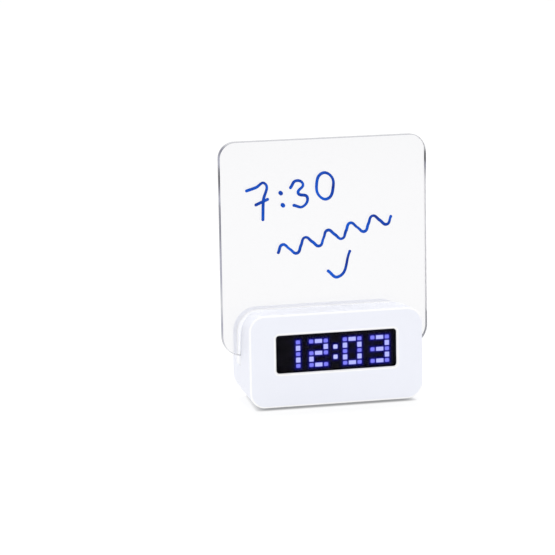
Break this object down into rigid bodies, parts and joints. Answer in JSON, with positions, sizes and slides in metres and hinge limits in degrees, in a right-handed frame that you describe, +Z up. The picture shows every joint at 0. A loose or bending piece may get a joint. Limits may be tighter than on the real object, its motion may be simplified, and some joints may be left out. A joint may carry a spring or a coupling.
{
  "type": "digital alarm clock",
  "caption": "Digital alarm clock: rounded two-part case, smoked window with lit block digits, rear keys, and a clear memo board that lifts out of a slot.",
  "frame": {"origin": "on the table under the middle of the case", "axes": "+Z up, +X to the clock's right as seen from the front, -Y out of the display"},
  "size_m": [0.12, 0.044, 0.1484],
  "materials": {
    "white_shell": "glossy white with a fine moulded skin",
    "key_plastic": "satin pale grey",
    "cradle_plastic": "satin white",
    "smoked_window": "polished smoked acrylic",
    "clear_acrylic": "polished clear acrylic",
    "black_plastic": "matte black",
    "dark_diffuser": "unlit diffuser",
    "lit_edge": "lit diffuser",
    "lit_corner": "lit diffuser",
    "tape": "black adhesive foam",
    "circuit_board": "solder resist on glass laminate",
    "diode_resin": "cast resin",
    "plated_steel": "nickel plated",
    "cell_jacket": "plain printed jacket with no words",
    "wire_jacket": "soft sleeve",
    "ribbon_film": "flat ribbon",
    "foot_rubber": "matte rubber"
  },
  "bodies": {
    "case": {"front_shell": "white_shell", "rear_shell": "white_shell", "display_window": "smoked_window", "window_tape": "tape", "display_housing": "black_plastic", "lit_edge_cells": "lit_edge", "lit_corner_cells": "lit_corner", "colon_dots": "lit_edge", "unlit_cells": "dark_diffuser", "display_board": "circuit_board", "clock_chip": "black_plastic", "quartz_crystal": "plated_steel", "display_board_screws": "plated_steel", "board_cradle": "cradle_plastic", "cradle_screws": "plated_steel", "light_strip": "circuit_board", "light_strip_leds": "diode_resin", "key_board": "circuit_board", "key_switches": "black_plastic", "light_switch_body": "black_plastic", "power_inlet": "black_plastic", "inlet_pin": "plated_steel", "buzzer": "black_plastic", "key_board_screws": "plated_steel", "battery_box": "black_plastic", "battery_cells": "cell_jacket", "battery_plates": "plated_steel", "battery_leaf_springs": "plated_steel", "display_ribbon": "ribbon_film", "battery_leads": "wire_jacket", "light_leads": "wire_jacket", "case_screws": "plated_steel", "rubber_feet": "foot_rubber"},
    "memo_board": {"memo_board": "clear_acrylic"},
    "mode_key": {"mode_key": "key_plastic"},
    "set_key": {"set_key": "key_plastic"},
    "up_key": {"up_key": "key_plastic"},
    "down_key": {"down_key": "key_plastic"},
    "alarm_key": {"alarm_key": "key_plastic"},
    "light_knob": {"light_switch_knob": "black_plastic"},
    "battery_door": {"battery_door": "white_shell"}
  },
  "joints": [
    {"name": "board_lift", "type": "slide", "parent": "case", "child": "memo_board", "axis": [0, 0, 1], "range_m": [0, 0.0265]},
    {"name": "mode_key_press", "type": "slide", "parent": "case", "child": "mode_key", "axis": [0, -1, 0], "range_m": [0, 0.0007], "stiffness_N_per_m": 600, "springref_m": -0.0005},
    {"name": "set_key_press", "type": "slide", "parent": "case", "child": "set_key", "axis": [0, -1, 0], "range_m": [0, 0.0007], "stiffness_N_per_m": 600, "springref_m": -0.0005},
    {"name": "up_key_press", "type": "slide", "parent": "case", "child": "up_key", "axis": [0, -1, 0], "range_m": [0, 0.0007], "stiffness_N_per_m": 600, "springref_m": -0.0005},
    {"name": "down_key_press", "type": "slide", "parent": "case", "child": "down_key", "axis": [0, -1, 0], "range_m": [0, 0.0007], "stiffness_N_per_m": 600, "springref_m": -0.0005},
    {"name": "alarm_key_press", "type": "slide", "parent": "case", "child": "alarm_key", "axis": [0, -1, 0], "range_m": [0, 0.0007], "stiffness_N_per_m": 600, "springref_m": -0.0005},
    {"name": "light_slide", "type": "slide", "parent": "case", "child": "light_knob", "axis": [1, 0, 0], "range_m": [0, 0.004]},
    {"name": "door_pull", "type": "slide", "parent": "case", "child": "battery_door", "axis": [0, 1, 0], "range_m": [0, 0.012]}
  ]
}
